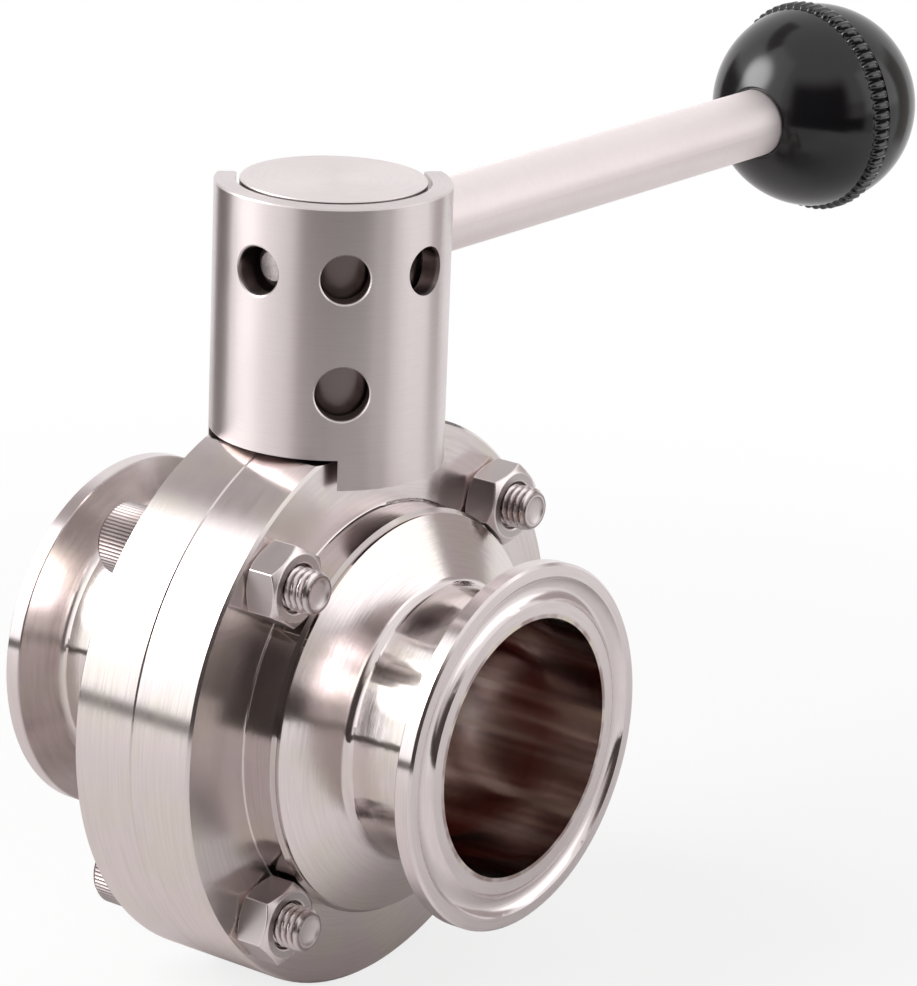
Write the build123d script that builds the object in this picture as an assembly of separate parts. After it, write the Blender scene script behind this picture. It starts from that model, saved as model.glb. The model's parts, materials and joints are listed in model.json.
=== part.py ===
from build123d import *
import math
import os

# Sanitary butterfly valve with clamp ferrules and a spring-loaded pull handle.
# The pieces are drawn about the valve centre, where the flow axis crosses the stem axis:
# X runs along the flow towards the near port, Y along the handle, Z up the stem.
# They are stored with the origin at the centre of the rear port's sealing face.

# Clamp ferrules and flow bore, for 38 mm tube
face_to_face = 70.0
bore_diameter = 35.6
tube_wall = 1.2
ferrule_diameter = 50.5
ferrule_rim_width = 2.5
ferrule_back_angle = 20.0
ferrule_root_fillet = 1.5
gasket_groove_diameter = 43.5
gasket_groove_width = 3.4
gasket_groove_depth = 0.9
ferrule_edge_break = 0.35

# Body halves. The step is the wall round the seat's pocket, and the flange carries the screws outside it.
pocket_wall = 3.2
step_length = 5.0
step_foot_fillet = 0.3
ledge_width = 0.5
ledge_drop = 0.6
cone_length = 4.6
cone_root_fillet = 1.6
flange_thickness = 9.8
flange_margin = 6.0
flange_edge_break = 0.4
parting_edge_break = 0.18
stem_seal_length = 5.5

# Screws and nuts through the two flanges
screw_count = 4
screw_start_angle = 45.0
screw_step_gap = 0.3
screw_diameter = 6.0
screw_hole_clearance = 0.3
screw_head_diameter = 10.0
screw_head_height = 6.0
screw_head_edge_break = 0.5
screw_socket_width = 5.0
screw_socket_depth = 3.0
screw_end_stand = 3.4
screw_tip_chamfer = 0.7
thread_clearance = 0.02
nut_width = 10.0
nut_height = 5.0
nut_corner_slope = 30.0
nut_corner_cut = 0.35

# Seat ring between the halves
seat_wall = 7.2
seat_half_width = 6.45
seat_crest = 0.2
seat_pocket_clearance = 0.05

# Disc with its stem and trunnion
disc_seal_gap = 0.25
disc_edge_thickness = 2.6
disc_middle_thickness = 5.6
stem_diameter = 10.0
stem_seat_gap = 0.3
stem_square_width = 7.0
stem_end_chamfer = 0.6
running_clearance = 0.05

# Stem seals and bushes
stem_bore_gap = 0.7
o_ring_section = 1.9
o_ring_groove_width = 2.5
o_ring_inset = 2.4
bush_wall = 0.95
bush_fit = 0.02
lower_bush_depth = 9.3
lower_bush_height = 5.0
lower_bush_floor = 1.0

# Index sleeve
sleeve_diameter = 31.8
sleeve_wall = 2.8
sleeve_height = 34.0
sleeve_rim_break = 0.2
sleeve_floor = 3.0
sleeve_flat_gap = 0.5
sleeve_pad_diameter = 20.0
skirt_depth = 4.15
skirt_flange_gap = 1.2
tenon_half_length = 7.5
tenon_neck_half_width = 7.0
tenon_foot_half_width = 10.0
tenon_neck_height = 3.4
tenon_foot_height = 3.0
tenon_clearance = 0.1
index_hole_clearance = 0.3
index_hole_angles = (-90.0, -45.0, 0.0)
index_hole_below_rim = 9.45
access_hole_clearance = 0.65
access_hole_angle = -45.0
access_hole_above_floor = 6.0
hole_edge_break = 0.2
window_clearance = 0.4
horn_corner_radius = 0.8
handle_swing = 90.0

# Handle hub
thrust_washer_height = 1.0
thrust_washer_gap = 0.65
hub_clearance = 0.6
hub_stands_proud = 0.2
hub_edge_break = 0.15
hub_web = 1.6
square_clearance = 0.05
socket_end_gap = 0.4
set_screw_diameter = 6.0
set_screw_inset = 1.0
set_screw_socket_width = 3.0
set_screw_socket_depth = 2.5
set_screw_chamfer = 0.5

# Locking plunger and its spring
pin_diameter = 6.0
pin_nose_chamfer = 1.0
pin_flush_inset = 0.1
plunger_head_thickness = 3.5
plunger_head_inset = 1.3
plunger_travel = 3.4
plunger_thread_length = 8.0
plunger_thread_end_gap = 0.4
spring_shoulder_depth = 6.5
spring_wire = 0.9
spring_turns = 5
spring_end_gap = 0.05

# Handle rod and ball knob. The ball is moulded askew round its insert: it sits off the rod's axis,
# and its joint leans.
rod_diameter = 10.0
rod_length = 87.0
rod_hub_gap = 0.2
rod_end_chamfer = 0.3
knob_diameter = 30.8
knob_centre_distance = 13.4
knob_offset_to_port = 1.1
knob_offset_up = 0.6
knob_lean_to_port = 11.7
knob_lean_up = 3.8
knob_cap_edge_drop = 0.4
knob_joint_offset = 1.1
knob_band_width = 2.7
knob_band_stand = 0.6
knob_tooth_count = 62
knob_tooth_groove = 0.42
knob_cap_spigot_diameter = 23.0
knob_cap_spigot_length = 3.0
knob_joint_clearance = 0.05
insert_wall = 1.0
insert_end_wall = 0.5
insert_groove_depth = 0.4
insert_groove_width = 2.0
rod_thread_diameter = 8.0
rod_thread_end_gap = 1.0

# How far a cutter reaches past what it cuts
cutter_overshoot = 1.0

# Radii and levels that follow from the sizes above
half_length = face_to_face / 2
bore_radius = bore_diameter / 2
tube_radius = bore_radius + tube_wall
ferrule_radius = ferrule_diameter / 2
seat_radius = bore_radius + seat_wall
pocket_radius = seat_radius + seat_pocket_clearance
pocket_half_width = seat_half_width + seat_pocket_clearance
step_radius = seat_radius + pocket_wall
screw_circle_radius = step_radius + screw_step_gap + max(nut_width, screw_head_diameter) / 2
flange_radius = screw_circle_radius + flange_margin
screw_length = 2 * flange_thickness + nut_height + screw_end_stand
disc_radius = bore_radius - seat_crest - disc_seal_gap
stem_radius = stem_diameter / 2
stem_bore_radius = stem_radius + stem_bore_gap
bush_inner_radius = stem_radius + running_clearance
bush_outer_radius = bush_inner_radius + bush_wall
sleeve_radius = sleeve_diameter / 2
sleeve_bore_radius = sleeve_radius - sleeve_wall
slot_half_width = flange_thickness + skirt_flange_gap
hub_radius = sleeve_bore_radius - hub_clearance
pin_radius = pin_diameter / 2
index_hole_radius = pin_radius + index_hole_clearance
access_hole_radius = set_screw_diameter / 2 + access_hole_clearance
rod_radius = rod_diameter / 2
plunger_bore_radius = rod_radius + running_clearance
knob_radius = knob_diameter / 2

tenon_foot_level = seat_radius + stem_seal_length
tenon_neck_level = tenon_foot_level + tenon_foot_height
flange_flat_level = tenon_neck_level + tenon_neck_height
notch_level = flange_flat_level + sleeve_flat_gap
floor_level = notch_level + sleeve_floor
rim_level = notch_level + sleeve_height
skirt_level = notch_level - skirt_depth
pin_level = rim_level - index_hole_below_rim
access_level = floor_level + access_hole_above_floor
washer_top = floor_level + thrust_washer_height
hub_bottom = washer_top + running_clearance
hub_top = rim_level + hub_stands_proud
square_bottom = floor_level + thrust_washer_height / 2
socket_top = pin_level - plunger_bore_radius - hub_web
square_top = socket_top - socket_end_gap
lower_bush_top = -(seat_radius + lower_bush_depth - lower_bush_height)
lower_bush_bottom = lower_bush_top - lower_bush_height
trunnion_bottom = lower_bush_bottom + lower_bush_floor + running_clearance

# Places along the handle. The pieces are drawn with the handle pulled out of the hole by its travel.
pin_nose = -(sleeve_radius - pin_flush_inset) + plunger_travel
head_front = -(hub_radius - plunger_head_inset) + plunger_travel
head_back = head_front + plunger_head_thickness
spring_shoulder = hub_radius - spring_shoulder_depth
rod_start = hub_radius + rod_hub_gap + plunger_travel
plunger_end = rod_start + plunger_thread_length
knob_face = rod_start + rod_length
knob_centre = knob_face + knob_centre_distance

# Places along the ball's own axis, from its centre
band_middle = -knob_joint_offset
band_start = band_middle - knob_band_width / 2
band_end = band_middle + knob_band_width / 2
spigot_radius = knob_cap_spigot_diameter / 2
spigot_start = band_end - knob_cap_spigot_length
hollow_start = spigot_start - knob_joint_clearance

# The leaning hollow comes nearest to the insert at the rim of the insert's end.
knob_lean = math.hypot(math.radians(knob_lean_to_port), math.radians(knob_lean_up))
knob_offset = math.hypot(knob_offset_to_port, knob_offset_up)
insert_radius = rod_thread_diameter / 2 + insert_wall
insert_lean_room = (insert_radius + knob_offset) * math.tan(knob_lean)
insert_end = knob_centre + hollow_start - insert_end_wall - insert_lean_room
rod_end = insert_end - rod_thread_end_gap


def turned_about_x(outline):
    """Solid of revolution about the flow axis from an outline in distance along X and radius."""
    return revolve(make_face(outline), Axis.X)


def upright(radius, low, high):
    """Cylinder along Z between two levels."""
    return Pos(0, 0, low) * Cylinder(radius, high - low, align=(Align.CENTER, Align.CENTER, Align.MIN))


def along_y(radius, start, end, x=0.0, z=0.0):
    """Cylinder along Y between two places."""
    rod = Cylinder(radius, end - start, align=(Align.CENTER, Align.CENTER, Align.MIN))
    return Pos(x, start, z) * Rot(X=-90) * rod


def along_x(radius, start, end, y=0.0, z=0.0):
    """Cylinder along X between two places."""
    rod = Cylinder(radius, end - start, align=(Align.CENTER, Align.CENTER, Align.MIN))
    return Pos(start, y, z) * Rot(Y=90) * rod


def screw_places():
    """The screw centres on their circle, as places in Y and Z."""
    for i in range(screw_count):
        angle = math.radians(screw_start_angle + i * 360.0 / screw_count)
        yield screw_circle_radius * math.cos(angle), screw_circle_radius * math.sin(angle)


def hexagon_prism(width, start, length, turn=0.0):
    """Hexagonal prism along X, given its width across flats. At turn 0 a flat faces up."""
    outline = Rot(Z=turn) * RegularPolygon(width / 2, 6, major_radius=False)
    return Pos(start, 0, 0) * Rot(Y=90) * extrude(outline, length)


def body_outline():
    """Half section of one body half, from the parting face to the ferrule's face."""
    step_end = flange_thickness + step_length
    cone_start = step_end + ledge_width
    cone_radius = step_radius - ledge_drop
    neck_start = cone_start + cone_length
    rim_back = half_length - ferrule_rim_width
    taper_length = (ferrule_radius - tube_radius) * math.tan(math.radians(ferrule_back_angle))
    groove_middle = gasket_groove_diameter / 2
    groove_inner = groove_middle - gasket_groove_width / 2
    groove_outer = groove_middle + gasket_groove_width / 2
    groove_bottom = (half_length - gasket_groove_depth, groove_middle)
    points_out = [
        (half_length, groove_outer),
        (half_length, ferrule_radius - ferrule_edge_break),
        (half_length - ferrule_edge_break, ferrule_radius),
        (rim_back + ferrule_edge_break / 2, ferrule_radius),
        (rim_back, ferrule_radius - ferrule_edge_break / 2),
        (rim_back - taper_length, tube_radius),
        (neck_start, tube_radius),
        (cone_start, cone_radius),
        (step_end, cone_radius),
        (step_end, step_radius - ledge_width),
        (step_end - ledge_width, step_radius),
        (flange_thickness, step_radius),
        (flange_thickness, flange_radius - flange_edge_break),
        (flange_thickness - flange_edge_break, flange_radius),
        (parting_edge_break, flange_radius),
        (0, flange_radius - parting_edge_break),
        (0, pocket_radius),
        (pocket_half_width, pocket_radius),
        (pocket_half_width, bore_radius),
        (half_length, bore_radius),
        (half_length, groove_inner),
    ]
    groove = ThreePointArc(points_out[-1], groove_bottom, points_out[0])
    face = make_face([Polyline(*points_out), groove])
    rounded = [
        ((rim_back - taper_length, tube_radius), ferrule_root_fillet),
        ((neck_start, tube_radius), cone_root_fillet),
        ((flange_thickness, step_radius), step_foot_fillet),
    ]
    for corner, radius in rounded:
        vertex = min(face.vertices(), key=lambda v: (v.X - corner[0]) ** 2 + (v.Y - corner[1]) ** 2)
        face = fillet(vertex, radius)
    return face


def body_half(side):
    """One body half. side is 1 for the near half and -1 for the far one."""
    half = revolve(body_outline(), Axis.X)
    above_flat = Pos(0, 0, flange_flat_level) * Box(
        3 * flange_thickness, 2 * flange_radius, flange_radius, align=(Align.CENTER, Align.CENTER, Align.MIN))
    half -= above_flat
    hole_radius = screw_diameter / 2 + screw_hole_clearance
    for y, z in screw_places():
        half -= along_x(hole_radius, -cutter_overshoot, flange_thickness + step_length, y, z)
    half -= upright(stem_bore_radius, 0, flange_flat_level)
    half -= upright(stem_bore_radius, lower_bush_top, 0)
    half -= upright(bush_outer_radius + bush_fit, lower_bush_bottom - bush_fit, lower_bush_top)
    half -= tenon(tenon_clearance)
    return half if side > 0 else mirror(half, Plane.YZ)


def tenon(clearance):
    """Foot of the index sleeve that the two halves clamp: a neck with a wider foot, square to the flanges."""
    neck = Pos(0, 0, tenon_neck_level) * Box(
        2 * (tenon_half_length + clearance), 2 * (tenon_neck_half_width + clearance),
        notch_level - tenon_neck_level, align=(Align.CENTER, Align.CENTER, Align.MIN))
    foot = Pos(0, 0, tenon_foot_level) * Box(
        2 * (tenon_half_length + clearance), 2 * (tenon_foot_half_width + clearance),
        tenon_foot_height + clearance, align=(Align.CENTER, Align.CENTER, Align.MIN))
    return neck + foot


def clamp_screw(y, z):
    """Cylinder-head screw with a hexagon socket, from the rear flange through to the front."""
    under_head = -flange_thickness
    tip = under_head + screw_length
    radius = screw_diameter / 2
    head_radius = screw_head_diameter / 2
    head_top = under_head - screw_head_height
    outline = Polyline(
        (head_top, 0), (head_top, head_radius - screw_head_edge_break),
        (head_top + screw_head_edge_break, head_radius), (under_head, head_radius),
        (under_head, radius), (tip - screw_tip_chamfer, radius), (tip, radius - screw_tip_chamfer), (tip, 0),
        close=True)
    screw = turned_about_x(outline) - hexagon_prism(screw_socket_width, head_top, screw_socket_depth)
    return Pos(0, y, z) * screw


def clamp_nut(y, z):
    """Hexagon nut with its corners turned off on both faces."""
    corner_radius = nut_width / math.sqrt(3)
    face_radius = nut_width / 2 - nut_corner_cut
    corner_drop = (corner_radius - face_radius) * math.tan(math.radians(nut_corner_slope))
    start = flange_thickness
    end = start + nut_height
    turned = turned_about_x(Polyline(
        (start, 0), (start, face_radius), (start + corner_drop, corner_radius),
        (end - corner_drop, corner_radius), (end, face_radius), (end, 0), close=True))
    turn = math.degrees(math.atan2(z, y))
    nut = hexagon_prism(nut_width, start, nut_height, turn) & turned
    nut -= along_x(screw_diameter / 2 + thread_clearance, start, end)
    return Pos(0, y, z) * nut


def seat_ring():
    """Moulded ring that fills the pocket of both halves, with a low crest towards the disc."""
    corners = Polyline(
        (seat_half_width, bore_radius), (seat_half_width, seat_radius),
        (-seat_half_width, seat_radius), (-seat_half_width, bore_radius))
    crest = ThreePointArc(
        (-seat_half_width, bore_radius), (0, bore_radius - seat_crest), (seat_half_width, bore_radius))
    ring = revolve(make_face([corners, crest]), Axis.X)
    return ring - upright(stem_radius + stem_seat_gap, -flange_radius, flange_radius)


def butterfly_disc():
    """Disc with a ball-turned edge, a boss along the stem axis, the stem and its square, and the trunnion."""
    edge = disc_edge_thickness / 2
    middle = disc_middle_thickness / 2
    blank_radius = disc_radius + cutter_overshoot
    blade = turned_about_x(Polyline(
        (-middle, 0), (-edge, blank_radius), (edge, blank_radius), (middle, 0), close=True))
    boss = upright(stem_radius, -blank_radius, blank_radius)
    disc = (blade + boss) & Sphere(disc_radius)
    stem = upright(stem_radius, 0, square_bottom)
    square = Pos(0, 0, square_bottom) * Box(
        stem_square_width, stem_square_width, square_top - square_bottom,
        align=(Align.CENTER, Align.CENTER, Align.MIN))
    square &= upright(stem_radius, square_bottom, square_top)
    square = chamfer(square.faces().sort_by(Axis.Z)[-1].edges(), stem_end_chamfer)
    trunnion = upright(stem_radius, trunnion_bottom, 0)
    trunnion = chamfer(trunnion.faces().sort_by(Axis.Z)[0].edges(), stem_end_chamfer)
    disc += [stem, square, trunnion]
    for level in o_ring_levels():
        low = level - o_ring_groove_width / 2
        high = level + o_ring_groove_width / 2
        groove = upright(stem_radius + cutter_overshoot, low, high)
        disc -= groove - upright(o_ring_root_radius(), low - cutter_overshoot, high + cutter_overshoot)
    return disc


def o_ring_root_radius():
    """Radius of the stem's grooves, under the rings that run in the body's stem bore."""
    return stem_bore_radius - 2 * running_clearance - o_ring_section


def o_ring_levels():
    """Middle of the upper and lower stem seal."""
    return seat_radius + o_ring_inset, -(seat_radius + o_ring_inset)


def stem_o_ring(level):
    middle_radius = stem_bore_radius - running_clearance - o_ring_section / 2
    return Pos(0, 0, level) * Torus(middle_radius, o_ring_section / 2)


def stem_bush_upper():
    """Plain bush pressed in the sleeve's foot."""
    outer = upright(bush_outer_radius, tenon_foot_level, floor_level)
    return outer - upright(bush_inner_radius, tenon_foot_level, floor_level)


def stem_bush_lower():
    """Cup bush under the trunnion."""
    cup = upright(bush_outer_radius, lower_bush_bottom, lower_bush_top)
    return cup - upright(bush_inner_radius, lower_bush_bottom + lower_bush_floor, lower_bush_top)


def thrust_washer():
    """Flat ring on the sleeve's floor that the hub turns on."""
    ring = upright(sleeve_bore_radius - thrust_washer_gap, floor_level, washer_top)
    return ring - upright(stem_radius + stem_seat_gap, floor_level, washer_top)


def radial_hole(radius, angle, level):
    """Cutter for a hole through one side of the sleeve, at an angle about the stem from +X."""
    return Rot(Z=angle) * along_x(radius, sleeve_bore_radius / 2, sleeve_diameter, 0, level)


def index_sleeve():
    """Tube with the locating holes, open at the back for the rod, on a foot slotted over the flanges."""
    sleeve = upright(sleeve_radius, skirt_level, rim_level)
    sleeve = chamfer(sleeve.faces().sort_by(Axis.Z)[-1].edges(), sleeve_rim_break)
    slot = Pos(0, 0, skirt_level) * Box(
        2 * slot_half_width, 2 * sleeve_diameter, skirt_depth, align=(Align.CENTER, Align.CENTER, Align.MIN))
    sleeve -= slot
    sleeve -= upright(sleeve_bore_radius, floor_level, rim_level)
    sleeve = round_horns(sleeve - handle_window())
    for angle, level, radius in sleeve_holes():
        sleeve -= radial_hole(radius, angle, level)
    sleeve = break_hole_edges(sleeve)
    sleeve += upright(sleeve_pad_diameter / 2, flange_flat_level, notch_level)
    sleeve += tenon(0)
    sleeve -= upright(bush_outer_radius + bush_fit, tenon_foot_level, floor_level)
    return sleeve


def sleeve_holes():
    """Angle, level and radius of the three locating holes and of the key's access hole."""
    holes = [(angle, pin_level, index_hole_radius) for angle in index_hole_angles]
    return holes + [(access_hole_angle, access_level, access_hole_radius)]


def break_hole_edges(sleeve):
    """Small chamfer round the outer mouth of every hole."""
    chosen = []
    for angle, level, radius in sleeve_holes():
        turn = math.radians(angle)
        centre = Vector(sleeve_radius * math.cos(turn), sleeve_radius * math.sin(turn), level)
        ring = [e for e in sleeve.edges() if e.geom_type != GeomType.LINE
                and (e.center(CenterOf.BOUNDING_BOX) - centre).length < sleeve_wall / 2
                and e.length < 3 * math.pi * radius]
        chosen += ring
    return chamfer(chosen, hole_edge_break)


def handle_window():
    """Straight cut across the back of the sleeve. The horns that it leaves clear the rod at either end."""
    half_width = rod_radius + window_clearance
    half_swing = math.radians(handle_swing / 2)
    along_rod = math.sqrt(sleeve_bore_radius ** 2 - half_width ** 2)
    distance = along_rod * math.cos(half_swing) - half_width * math.sin(half_swing)
    low = pin_level - half_width
    block = Pos(distance, 0, low) * Box(
        sleeve_diameter, 2 * sleeve_diameter, rim_level + cutter_overshoot - low,
        align=(Align.MIN, Align.CENTER, Align.MIN))
    return Rot(Z=90 + handle_swing / 2) * block


def round_horns(sleeve):
    """Rounds the upright edges that the window leaves on the sleeve's wall."""
    uprights = [e for e in sleeve.edges().filter_by(Axis.Z) if e.center().Z > pin_level - rod_radius
                and e.length > rim_level - pin_level]
    return fillet(uprights, horn_corner_radius)


def handle_hub():
    """Hub on the stem's square, with the stepped cross bore for the plunger and the set screw's hole."""
    hub = upright(hub_radius, hub_bottom, hub_top)
    hub = chamfer(hub.faces().sort_by(Axis.Z)[-1].edges(), hub_edge_break)
    socket_width = stem_square_width + 2 * square_clearance
    hub -= Pos(0, 0, hub_bottom) * Box(
        socket_width, socket_width, socket_top - hub_bottom, align=(Align.CENTER, Align.CENTER, Align.MIN))
    hub -= along_y(plunger_bore_radius, -sleeve_radius, spring_shoulder, 0, pin_level)
    hub -= along_y(pin_radius + running_clearance, spring_shoulder, sleeve_radius, 0, pin_level)
    hub -= along_y(set_screw_diameter / 2 + thread_clearance, -sleeve_radius, 0, 0, access_level)
    return hub


def hub_set_screw():
    """Set screw with a hexagon socket, its flat tip on the stem's square and its outer end inside the hub."""
    outer_end = set_screw_inset - hub_radius
    screw = along_y(set_screw_diameter / 2, outer_end, -stem_square_width / 2)
    screw = chamfer(screw.edges().filter_by(GeomType.CIRCLE), set_screw_chamfer)
    socket = Pos(0, outer_end, 0) * Rot(X=-90) * extrude(
        RegularPolygon(set_screw_socket_width / 2, 6, major_radius=False), set_screw_socket_depth)
    return Pos(0, 0, access_level) * (screw - socket)


def lock_plunger():
    """Pin, head and threaded tail in one turned piece."""
    nose = chamfer(
        along_y(pin_radius, pin_nose, head_front).faces().sort_by(Axis.Y)[0].edges(), pin_nose_chamfer)
    head = along_y(rod_radius, head_front, head_back)
    tail = along_y(pin_radius, head_back, plunger_end)
    return Pos(0, 0, pin_level) * (nose + head + tail)


def plunger_spring():
    """Round-wire compression spring between the plunger's head and the hub's shoulder."""
    wire_radius = spring_wire / 2
    mean_radius = (pin_radius + plunger_bore_radius) / 2
    low = head_back + spring_end_gap + wire_radius
    high = spring_shoulder - spring_end_gap - wire_radius
    path = Helix((high - low) / spring_turns, high - low, mean_radius)
    section = Plane(origin=path @ 0, z_dir=path % 0) * Circle(wire_radius)
    coil = sweep(section, path)
    return Pos(0, low, pin_level) * Rot(X=-90) * coil


def handle_rod():
    """Round bar with a tapped hole for the plunger and a reduced threaded end for the knob."""
    bar = along_y(rod_radius, rod_start, knob_face)
    bar = chamfer(bar.faces().sort_by(Axis.Y)[0].edges(), rod_end_chamfer)
    bar -= along_y(pin_radius + thread_clearance, rod_start, plunger_end + plunger_thread_end_gap)
    stud = along_y(rod_thread_diameter / 2, knob_face, rod_end)
    stud = chamfer(stud.faces().sort_by(Axis.Y)[-1].edges(), screw_tip_chamfer)
    return Pos(0, 0, pin_level) * (bar + stud)


def turned_about_y(outline):
    """Solid of revolution about the rod's axis from an outline in radius and distance along Y."""
    return revolve(make_face(outline), Axis.Y)


def ball_radius_at(place):
    """Radius of the ball about its own axis, at a place along it."""
    return math.sqrt(knob_radius ** 2 - place ** 2)


def ball_outline(start, end):
    """Arc of the ball between two places along its axis."""
    points = [(ball_radius_at(place), place) for place in (start, (start + end) / 2, end)]
    return ThreePointArc(*points)


def on_the_rod(ball):
    """Puts what is drawn about the ball's centre in its leaning place at the rod's end."""
    place = Pos(knob_offset_to_port, knob_centre, knob_offset_up)
    return place * Rot(Z=-knob_lean_to_port) * Rot(X=knob_lean_up) * ball


def toothed_band():
    """Band of rounded teeth round the ball's joint."""
    radius = ball_radius_at(band_middle) + knob_band_stand
    band = along_y(radius, band_start, band_end)
    band = chamfer(band.edges().filter_by(GeomType.CIRCLE), knob_band_stand / 2)
    groove = along_y(knob_tooth_groove, band_start, band_end, radius, 0)
    for i in range(knob_tooth_count):
        band -= Rot(Y=i * 360.0 / knob_tooth_count) * groove
    return band


def insert_blank():
    """Outside of the knob's metal insert, with the groove that the moulding grips."""
    groove_start = (knob_face + insert_end - insert_groove_width) / 2
    groove_end = groove_start + insert_groove_width
    groove_radius = insert_radius - insert_groove_depth
    return turned_about_y(Polyline(
        (0, knob_face), (insert_radius, knob_face),
        (insert_radius, groove_start), (groove_radius, groove_start),
        (groove_radius, groove_end), (insert_radius, groove_end),
        (insert_radius, insert_end), (0, insert_end), close=True))


def knob_base():
    """Rod-side part of the knob: a dome with the rod's mouth, a toothed rim, and seats for insert and cap."""
    rim_radius = ball_radius_at(band_middle)
    sides = Polyline((rim_radius, band_middle), (rim_radius, band_end), (0, band_end), (0, -knob_radius))
    dome = turned_about_y([sides, ball_outline(-knob_radius, band_middle)])
    hollow = along_y(spigot_radius + knob_joint_clearance, hollow_start, band_end)
    mouth = along_y(rod_radius + knob_joint_clearance, knob_centre - knob_diameter, knob_face)
    base = on_the_rod(dome + toothed_band() - hollow) - mouth - insert_blank()
    return Pos(0, 0, pin_level) * base


def knob_cap():
    """Outer dome of the knob, with a spigot that plugs into the base."""
    start = band_end + knob_joint_clearance
    dome_start = start + knob_cap_edge_drop
    edge_radius = ball_radius_at(start) - knob_cap_edge_drop
    sides = Polyline(
        (0, knob_radius), (0, spigot_start), (spigot_radius, spigot_start), (spigot_radius, start),
        (edge_radius, start), (ball_radius_at(dome_start), dome_start))
    cap = turned_about_y([sides, ball_outline(dome_start, knob_radius)])
    return Pos(0, 0, pin_level) * on_the_rod(cap)


def knob_insert():
    """Metal bush in the knob, tapped for the rod's end."""
    tapped = along_y(rod_thread_diameter / 2 + thread_clearance, knob_face, insert_end)
    return Pos(0, 0, pin_level) * (insert_blank() - tapped)


upper_seal, lower_seal = o_ring_levels()
parts = {
    "body_half_front": body_half(1),
    "body_half_rear": body_half(-1),
    "seat_ring": seat_ring(),
    "butterfly_disc": butterfly_disc(),
    "stem_bush_upper": stem_bush_upper(),
    "stem_bush_lower": stem_bush_lower(),
    "stem_o_ring_upper": stem_o_ring(upper_seal),
    "stem_o_ring_lower": stem_o_ring(lower_seal),
    "thrust_washer": thrust_washer(),
    "clamp_screws": Compound([clamp_screw(y, z) for y, z in screw_places()]),
    "clamp_nuts": Compound([clamp_nut(y, z) for y, z in screw_places()]),
    "index_sleeve": index_sleeve(),
    "handle_hub": handle_hub(),
    "hub_set_screw": hub_set_screw(),
    "lock_plunger": lock_plunger(),
    "plunger_spring": plunger_spring(),
    "handle_rod": handle_rod(),
    "knob_base": knob_base(),
    "knob_cap": knob_cap(),
    "knob_insert": knob_insert(),
}

os.makedirs("parts", exist_ok=True)
for name, shape in parts.items():
    export_step(Pos(half_length, 0, 0) * shape, f"parts/{name}.step")
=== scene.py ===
"""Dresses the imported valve: a finish for every piece, modelled fasteners and knob, and a small studio."""

import json
import math

import bmesh
import bpy
from bpy.props import FloatProperty, FloatVectorProperty, IntProperty, PointerProperty
from mathutils import Matrix, Vector


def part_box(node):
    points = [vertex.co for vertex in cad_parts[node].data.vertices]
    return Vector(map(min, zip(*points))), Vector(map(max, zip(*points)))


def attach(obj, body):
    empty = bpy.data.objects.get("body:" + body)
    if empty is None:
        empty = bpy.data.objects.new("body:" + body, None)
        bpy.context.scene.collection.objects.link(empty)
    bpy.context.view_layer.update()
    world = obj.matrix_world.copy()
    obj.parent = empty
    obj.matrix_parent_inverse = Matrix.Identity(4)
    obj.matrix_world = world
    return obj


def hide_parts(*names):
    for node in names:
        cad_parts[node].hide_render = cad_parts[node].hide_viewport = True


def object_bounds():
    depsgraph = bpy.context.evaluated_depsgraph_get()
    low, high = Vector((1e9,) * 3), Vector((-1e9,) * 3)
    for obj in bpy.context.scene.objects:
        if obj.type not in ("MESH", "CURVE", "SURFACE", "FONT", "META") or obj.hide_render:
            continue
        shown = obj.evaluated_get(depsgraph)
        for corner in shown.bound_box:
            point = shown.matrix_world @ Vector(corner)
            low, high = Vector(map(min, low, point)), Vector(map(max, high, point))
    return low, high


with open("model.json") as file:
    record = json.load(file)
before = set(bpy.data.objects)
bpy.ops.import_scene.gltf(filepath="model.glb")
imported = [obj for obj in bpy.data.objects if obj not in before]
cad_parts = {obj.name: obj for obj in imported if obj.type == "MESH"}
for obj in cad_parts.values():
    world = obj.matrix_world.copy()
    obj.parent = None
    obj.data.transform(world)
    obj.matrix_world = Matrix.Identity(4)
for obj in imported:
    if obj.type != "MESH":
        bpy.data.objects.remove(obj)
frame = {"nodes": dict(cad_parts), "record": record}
cad_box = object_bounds()

bl_info = {
    "name": "Sanitary Butterfly Valve",
    "version": (1, 0, 0),
    "blender": (4, 5, 0),
    "location": "View3D > Sidebar > Valve",
    "description": "Finishes and modelled details for a sanitary butterfly valve with a pull handle",
    "category": "Object",
}

MM = 0.001
X_AXIS = Vector((1, 0, 0))
Y_AXIS = Vector((0, 1, 0))
Z_AXIS = Vector((0, 0, 1))

WHITE = (1, 1, 1)
CAMERA_RAY = "Is Camera Ray"

# Places and sizes of the valve, read from its pieces. VALVE_CENTRE is where the flow axis crosses the stem's
PARTING_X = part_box("body_half_front")[0].x
FLOOR_LEVEL = cad_box[0].z
FLANGE_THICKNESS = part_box("clamp_nuts")[0].x - PARTING_X
FLANGE_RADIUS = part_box("body_half_front")[1].y
PIN_LEVEL = (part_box("lock_plunger")[0].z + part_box("lock_plunger")[1].z) / 2
ROD_RADIUS = (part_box("handle_rod")[1].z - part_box("handle_rod")[0].z) / 2
KNOB_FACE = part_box("knob_insert")[0].y
VALVE_CENTRE = Vector((PARTING_X, 0, 0))
HANDLE_AXIS = Vector((PARTING_X, 0, PIN_LEVEL))
HUB_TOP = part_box("handle_hub")[1].z
SLEEVE_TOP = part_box("index_sleeve")[1].z
SLEEVE_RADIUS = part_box("index_sleeve")[1].y


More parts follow.
